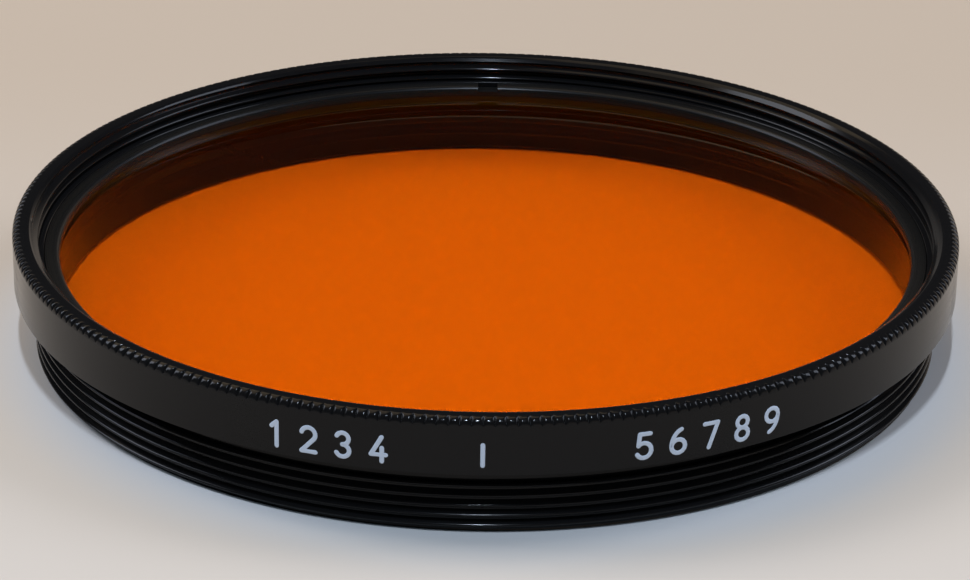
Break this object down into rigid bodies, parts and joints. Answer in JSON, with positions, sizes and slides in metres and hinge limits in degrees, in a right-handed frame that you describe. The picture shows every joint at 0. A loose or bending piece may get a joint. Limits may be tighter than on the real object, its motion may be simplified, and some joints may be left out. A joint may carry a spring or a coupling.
{
  "type": "colour lens filter",
  "caption": "Screw-in colour filter for a camera lens: orange glass disc in a black knurled ring with a rear male and a front female thread.",
  "frame": {"origin": "centre of the rear face, on the optical axis, where the filter rests on its rear thread", "axes": "+Z along the optical axis, from the camera side to the subject side; the filter is turned round Z"},
  "size_m": [0.07, 0.07, 0.0093],
  "materials": {
    "mount_ring": "satin black anodised, turned",
    "filter_glass": "polished, dyed orange in the mass",
    "retaining_ring": "matt black anodised, turned"
  },
  "bodies": {
    "root": {"mount_ring": "mount_ring", "filter_glass": "filter_glass", "retaining_ring": "retaining_ring"}
  },
  "joints": []
}
